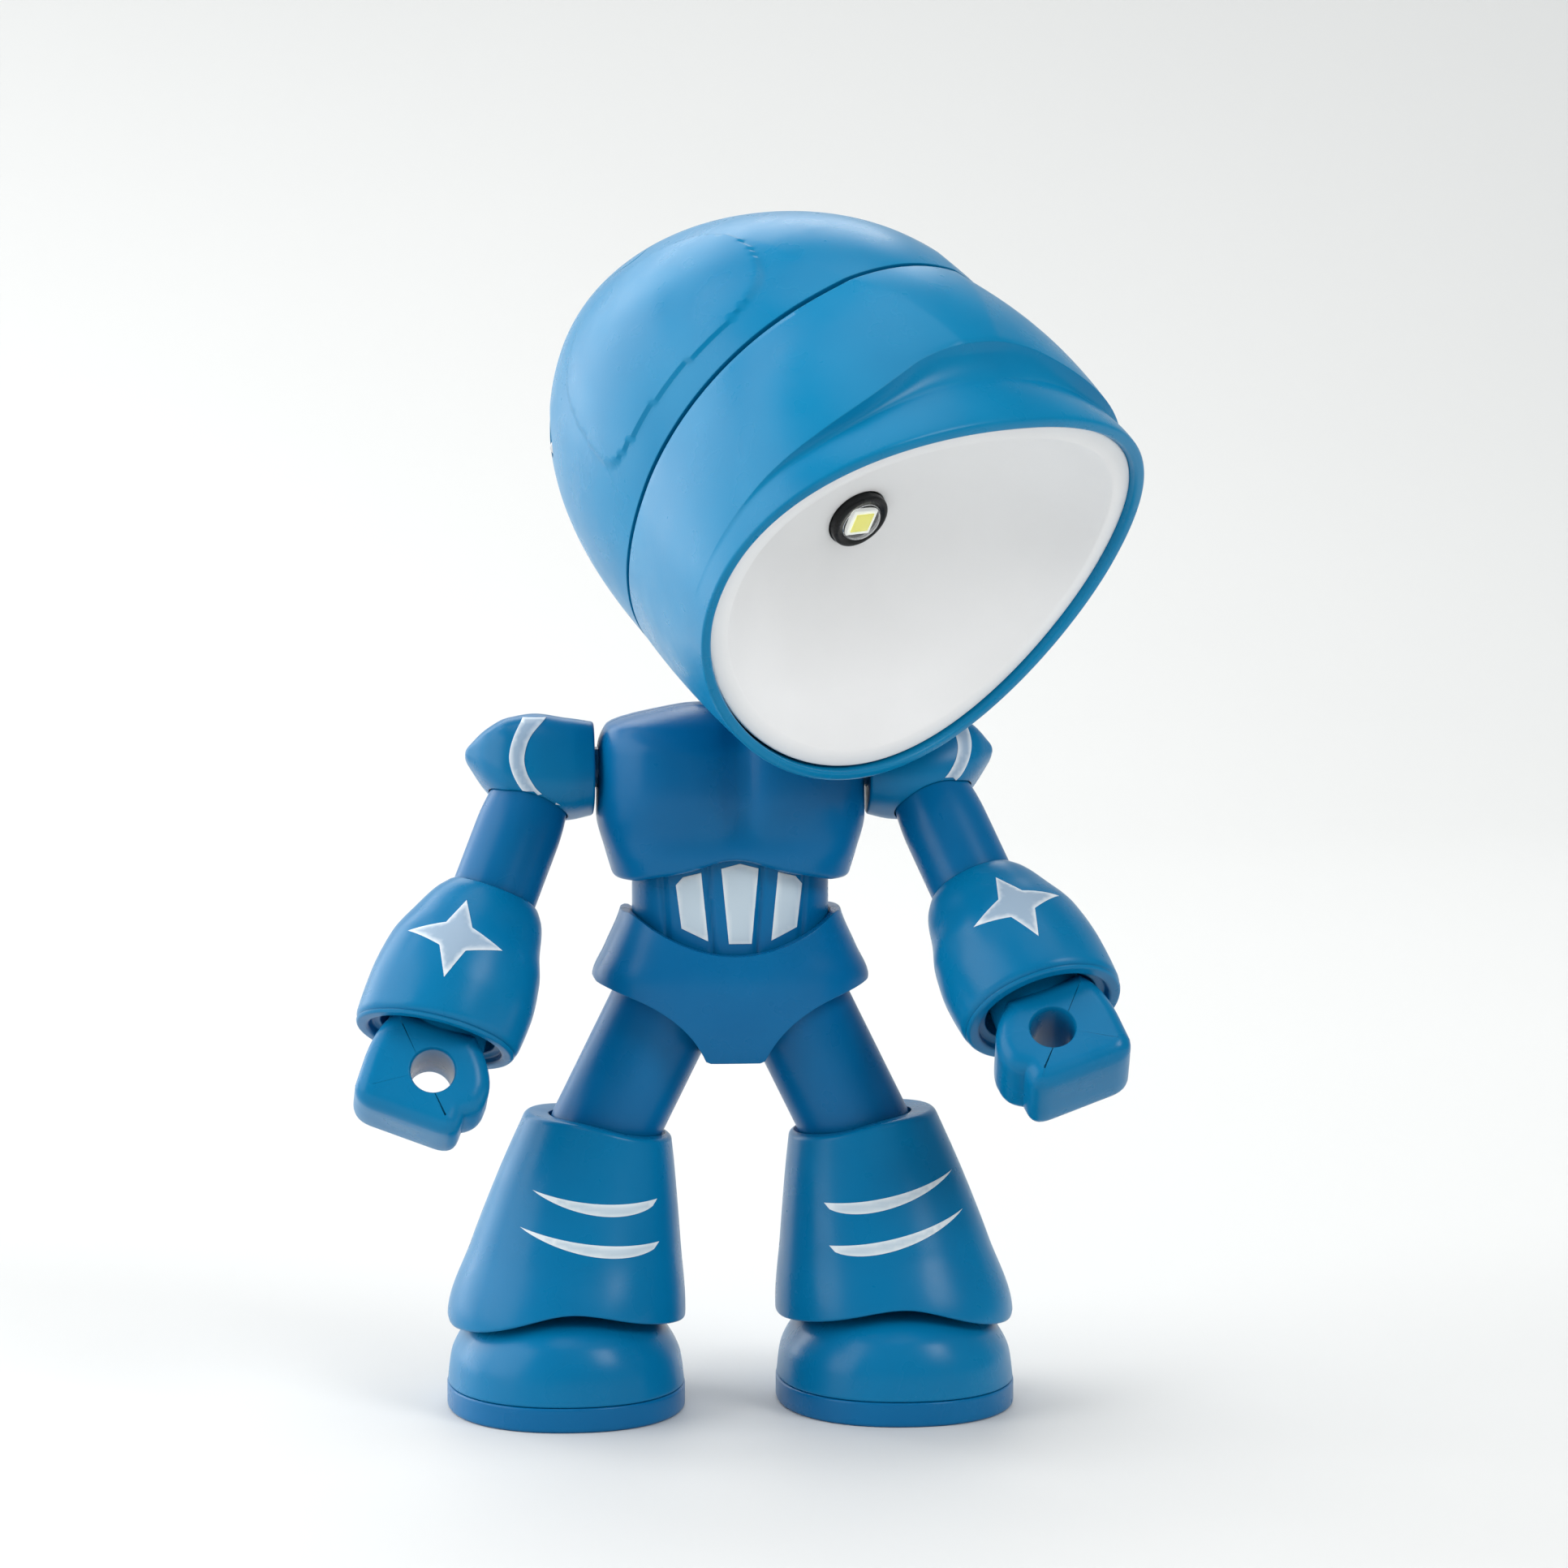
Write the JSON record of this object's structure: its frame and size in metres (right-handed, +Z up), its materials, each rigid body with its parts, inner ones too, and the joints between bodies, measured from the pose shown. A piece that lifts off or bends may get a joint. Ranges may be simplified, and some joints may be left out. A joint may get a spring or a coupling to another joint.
{
  "type": "poseable toy robot lamp",
  "caption": "Standing toy robot whose round helmet-shaped head is a battery lamp with a wide white reflector, on a jointed body with gauntlet arms and flared boots.",
  "frame": {"origin": "bottom centre of the bounding box at rest, on the surface the soles stand on", "axes": "+Z up, the robot faces -Y, its own left side is at +X"},
  "size_m": [0.1128, 0.091, 0.1745],
  "materials": {
    "light_blue_shell": "satin moulded ABS",
    "deep_blue_shell": "satin moulded ABS",
    "joint_blue": "satin moulded acetal",
    "reflector_white": "smooth",
    "lamp_black": "fine satin",
    "phosphor": "cured silicone",
    "clear_lens": "clear moulded lens",
    "battery_can": "printed wrap",
    "contact_brass": "plated spring strip",
    "steel": "zinc plated"
  },
  "bodies": {
    "head": {"head_front_shell": "light_blue_shell", "head_back_shell": "light_blue_shell", "reflector": "reflector_white", "led_base": "lamp_black", "led_board": "reflector_white", "led_chip": "phosphor", "led_lens": "clear_lens", "battery_tray": "lamp_black", "battery_1": "battery_can", "battery_2": "battery_can", "battery_3": "battery_can", "battery_contact_top": "contact_brass", "battery_contact_bottom": "contact_brass", "head_screw_right": "steel", "head_screw_left": "steel", "neck_bracket": "lamp_black"},
    "battery_cover": {"battery_cover": "light_blue_shell"},
    "power_button": {"power_button": "joint_blue"},
    "neck_post": {"neck_post": "joint_blue"},
    "neck_ball": {"neck_ball": "joint_blue"},
    "chest": {"chest_front": "deep_blue_shell", "chest_back": "deep_blue_shell", "chest_screw_right": "steel", "chest_screw_left": "steel"},
    "pelvis": {"pelvis_front": "deep_blue_shell", "pelvis_back": "deep_blue_shell", "pelvis_screw": "steel", "abdomen": "deep_blue_shell", "waist_peg": "joint_blue"},
    "arm_right": {"shoulder_right": "light_blue_shell", "shoulder_peg_right": "joint_blue", "upper_arm_right": "deep_blue_shell", "elbow_pin_right": "steel"},
    "forearm_right": {"forearm_right": "light_blue_shell"},
    "hand_right": {"hand_right": "light_blue_shell"},
    "hip_right": {"hip_ball_right": "joint_blue"},
    "thigh_right": {"thigh_right": "deep_blue_shell", "knee_pin_right": "steel"},
    "boot_right": {"boot_right": "light_blue_shell", "ankle_peg_right": "joint_blue"},
    "foot_right": {"foot_right": "light_blue_shell", "sole_right": "deep_blue_shell"},
    "arm_left": {"shoulder_left": "light_blue_shell", "shoulder_peg_left": "joint_blue", "upper_arm_left": "deep_blue_shell", "elbow_pin_left": "steel"},
    "forearm_left": {"forearm_left": "light_blue_shell"},
    "hand_left": {"hand_left": "light_blue_shell"},
    "hip_left": {"hip_ball_left": "joint_blue"},
    "thigh_left": {"thigh_left": "deep_blue_shell", "knee_pin_left": "steel"},
    "boot_left": {"boot_left": "light_blue_shell", "ankle_peg_left": "joint_blue"},
    "foot_left": {"foot_left": "light_blue_shell", "sole_left": "deep_blue_shell"}
  },
  "joints": [
    {"name": "neck_turn", "type": "hinge", "parent": "chest", "child": "neck_post", "pos_m": [-0.00086, 0.02085, 0.105], "axis": [0, 0, 1], "range_deg": [-64, 0]},
    {"name": "head_tilt", "type": "hinge", "parent": "neck_post", "child": "neck_ball", "pos_m": [-0.00086, 0.02085, 0.1155], "axis": [0.5821, -0.8131, 0], "range_deg": [-8, 6]},
    {"name": "head_nod", "type": "hinge", "parent": "neck_ball", "child": "head", "pos_m": [-0.00086, 0.02085, 0.1155], "axis": [0.8345, 0.5482, 0.055], "range_deg": [-34, 0]},
    {"name": "waist_turn", "type": "hinge", "parent": "pelvis", "child": "chest", "pos_m": [-0.00086, 0.01885, 0.079], "axis": [0, 0, 1], "range_deg": [-12, 12]},
    {"name": "shoulder_swing_right", "type": "hinge", "parent": "chest", "child": "arm_right", "pos_m": [-0.02836, 0.01885, 0.0942], "axis": [1, 0, 0], "range_deg": [-40, 33]},
    {"name": "elbow_bend_right", "type": "hinge", "parent": "arm_right", "child": "forearm_right", "pos_m": [-0.03671, 0.01141, 0.07376], "axis": [-0.9336, 0.1226, 0.3368], "range_deg": [-4.5, 11]},
    {"name": "wrist_turn_right", "type": "hinge", "parent": "forearm_right", "child": "hand_right", "pos_m": [-0.04003, 0.00834, 0.06715], "axis": [-0.3573, -0.392, -0.8477], "range_deg": [-40, 40]},
    {"name": "hip_swing_right", "type": "hinge", "parent": "pelvis", "child": "hip_right", "pos_m": [-0.01016, 0.01885, 0.0597], "axis": [1, 0, 0], "range_deg": [-12, 12]},
    {"name": "hip_spread_right", "type": "hinge", "parent": "hip_right", "child": "thigh_right", "pos_m": [-0.01016, 0.01885, 0.0597], "axis": [0, 1, 0], "range_deg": [-2, 4]},
    {"name": "knee_bend_right", "type": "hinge", "parent": "thigh_right", "child": "boot_right", "pos_m": [-0.0197, 0.01885, 0.04032], "axis": [1, 0, 0], "range_deg": [0, 20]},
    {"name": "foot_turn_right", "type": "hinge", "parent": "boot_right", "child": "foot_right", "pos_m": [-0.02521, 0.01885, 0.012], "axis": [0, 0, 1], "range_deg": [-8, 8]},
    {"name": "shoulder_swing_left", "type": "hinge", "parent": "chest", "child": "arm_left", "pos_m": [0.02664, 0.01885, 0.0942], "axis": [1, 0, 0], "range_deg": [-22, 40]},
    {"name": "elbow_bend_left", "type": "hinge", "parent": "arm_left", "child": "forearm_left", "pos_m": [0.03499, 0.00864, 0.07499], "axis": [-0.9336, -0.1682, -0.3164], "range_deg": [-11.5, 4]},
    {"name": "wrist_turn_left", "type": "hinge", "parent": "forearm_left", "child": "hand_left", "pos_m": [0.03827, 0.00388, 0.06944], "axis": [0.3512, -0.6055, -0.7142], "range_deg": [-40, 40]},
    {"name": "hip_swing_left", "type": "hinge", "parent": "pelvis", "child": "hip_left", "pos_m": [0.00844, 0.01885, 0.0597], "axis": [1, 0, 0], "range_deg": [-12, 12]},
    {"name": "hip_spread_left", "type": "hinge", "parent": "hip_left", "child": "thigh_left", "pos_m": [0.00844, 0.01885, 0.0597], "axis": [0, -1, 0], "range_deg": [-2, 4]},
    {"name": "knee_bend_left", "type": "hinge", "parent": "thigh_left", "child": "boot_left", "pos_m": [0.01798, 0.01885, 0.04032], "axis": [1, 0, 0], "range_deg": [0, 20]},
    {"name": "foot_turn_left", "type": "hinge", "parent": "boot_left", "child": "foot_left", "pos_m": [0.02349, 0.01885, 0.012], "axis": [0, 0, 1], "range_deg": [-8, 8]},
    {"name": "power_button_press", "type": "slide", "parent": "head", "child": "power_button", "axis": [0.5354, -0.8305, 0.1534], "range_m": [0, 0.0008], "stiffness_N_per_m": 400},
    {"name": "battery_cover_lift", "type": "slide", "parent": "head", "child": "battery_cover", "axis": [-0.4703, 0.657, 0.5892], "range_m": [0, 0.02]}
  ]
}
